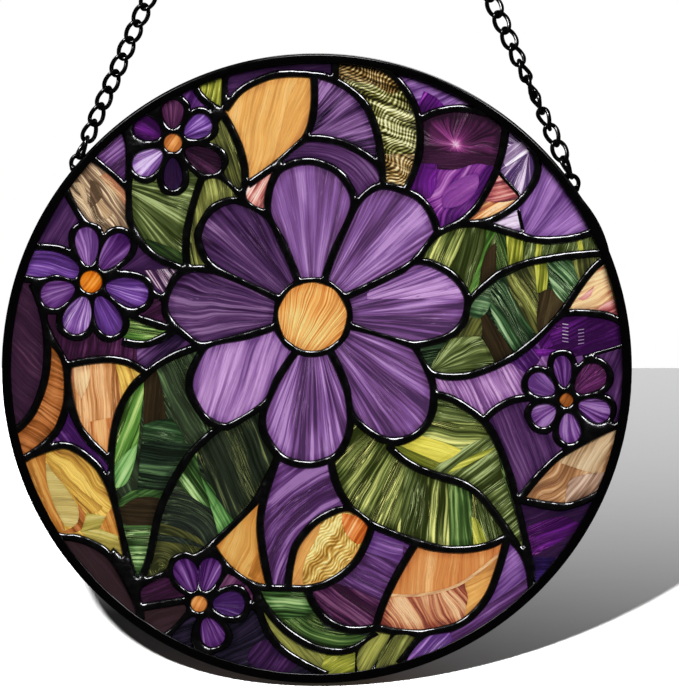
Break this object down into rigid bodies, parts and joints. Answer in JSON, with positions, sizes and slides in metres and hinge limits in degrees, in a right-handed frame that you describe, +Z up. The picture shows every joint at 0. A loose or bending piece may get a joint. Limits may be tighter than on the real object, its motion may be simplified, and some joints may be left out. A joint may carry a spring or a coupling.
{
  "type": "stained glass suncatcher",
  "caption": "Round leaded stained-glass panel of a big flower, small flowers and leaves in a slim metal hoop, hung by two chain strands from a ring to catch window light.",
  "frame": {"origin": "inner top of the hanging ring, where a hook bears, in the middle of the panel's depth", "axes": "+Z up, +X to the right as seen from the front, -Y towards the viewer"},
  "size_m": [0.2, 0.007, 0.3466],
  "materials": {
    "black_enamel": "smooth black enamel on a metal hoop",
    "blackened_lead": "domed solder and lead lines with a glossy black patina",
    "black_chain": "glossy black plated curb chain",
    "glass_amber": "streaky opalescent amber art glass, glossy",
    "glass_peach": "wispy peach art glass, glossy",
    "glass_tan": "streaky tan art glass, glossy",
    "glass_leaf_green": "streaky leaf-green art glass, glossy",
    "glass_dark_green": "dark bottle-green streaky art glass, glossy",
    "glass_yellow_green": "yellow-green streaky or rippled art glass, glossy",
    "glass_violet": "streaky violet opalescent art glass, glossy",
    "glass_lilac": "pale lilac streaky art glass, glossy",
    "glass_plum": "dark plum streaky art glass, glossy",
    "glass_maroon": "dark maroon art glass, glossy",
    "glass_coral": "coral streaky art glass, glossy"
  },
  "bodies": {
    "root": {"frame_ring": "black_enamel", "rim_loop_left": "black_enamel", "rim_loop_right": "black_enamel", "lead_came": "blackened_lead", "chain_left": "black_chain", "chain_right": "black_chain", "hanging_ring": "black_chain", "eye_glass": "glass_amber", "petal_top": "glass_violet", "petal_upper_right": "glass_violet", "petal_right": "glass_violet", "petal_lower_right": "glass_violet", "petal_bottom": "glass_violet", "petal_lower_left": "glass_lilac", "petal_left": "glass_plum", "petal_upper_left": "glass_plum", "leaf_left": "glass_dark_green", "leaf_lower_left": "glass_dark_green", "leaf_lower_right": "glass_leaf_green", "leaf_right": "glass_leaf_green", "leaf_upper_right": "glass_leaf_green", "leaf_upper_left": "glass_leaf_green", "leaf_streaked": "glass_yellow_green", "leaf_olive": "glass_leaf_green", "leaf_sliver": "glass_leaf_green", "ripple_green_top": "glass_yellow_green", "ripple_amber_bottom": "glass_amber", "crescent_green": "glass_leaf_green", "strip_green": "glass_yellow_green", "trunk_violet": "glass_violet", "crescent_violet": "glass_violet", "band_lilac": "glass_lilac", "pane_amber_top": "glass_amber", "pane_violet_top": "glass_violet", "strip_violet_top": "glass_plum", "pane_violet_top_right": "glass_violet", "pane_magenta": "glass_maroon", "pane_coral": "glass_coral", "pane_lilac": "glass_lilac", "pane_violet_upper_right": "glass_violet", "pane_peach_right": "glass_peach", "pane_violet_right": "glass_violet", "pane_tan_right": "glass_tan", "pane_plum_right": "glass_plum", "strip_violet_right": "glass_violet", "pane_amber_bottom": "glass_amber", "pane_plum_bottom": "glass_plum", "pane_amber_low": "glass_amber", "pane_plum_bottom_left": "glass_plum", "pane_maroon_bottom": "glass_maroon", "pane_maroon_low": "glass_maroon", "pane_yellow": "glass_amber", "pane_peach_left": "glass_peach", "crescent_brown": "glass_tan", "pane_maroon_rim": "glass_maroon", "pane_plum_left": "glass_plum", "pane_plum_middle": "glass_plum", "petal_at_rim": "glass_violet", "pane_violet_left": "glass_violet", "pane_tan_left": "glass_tan"}
  },
  "joints": []
}
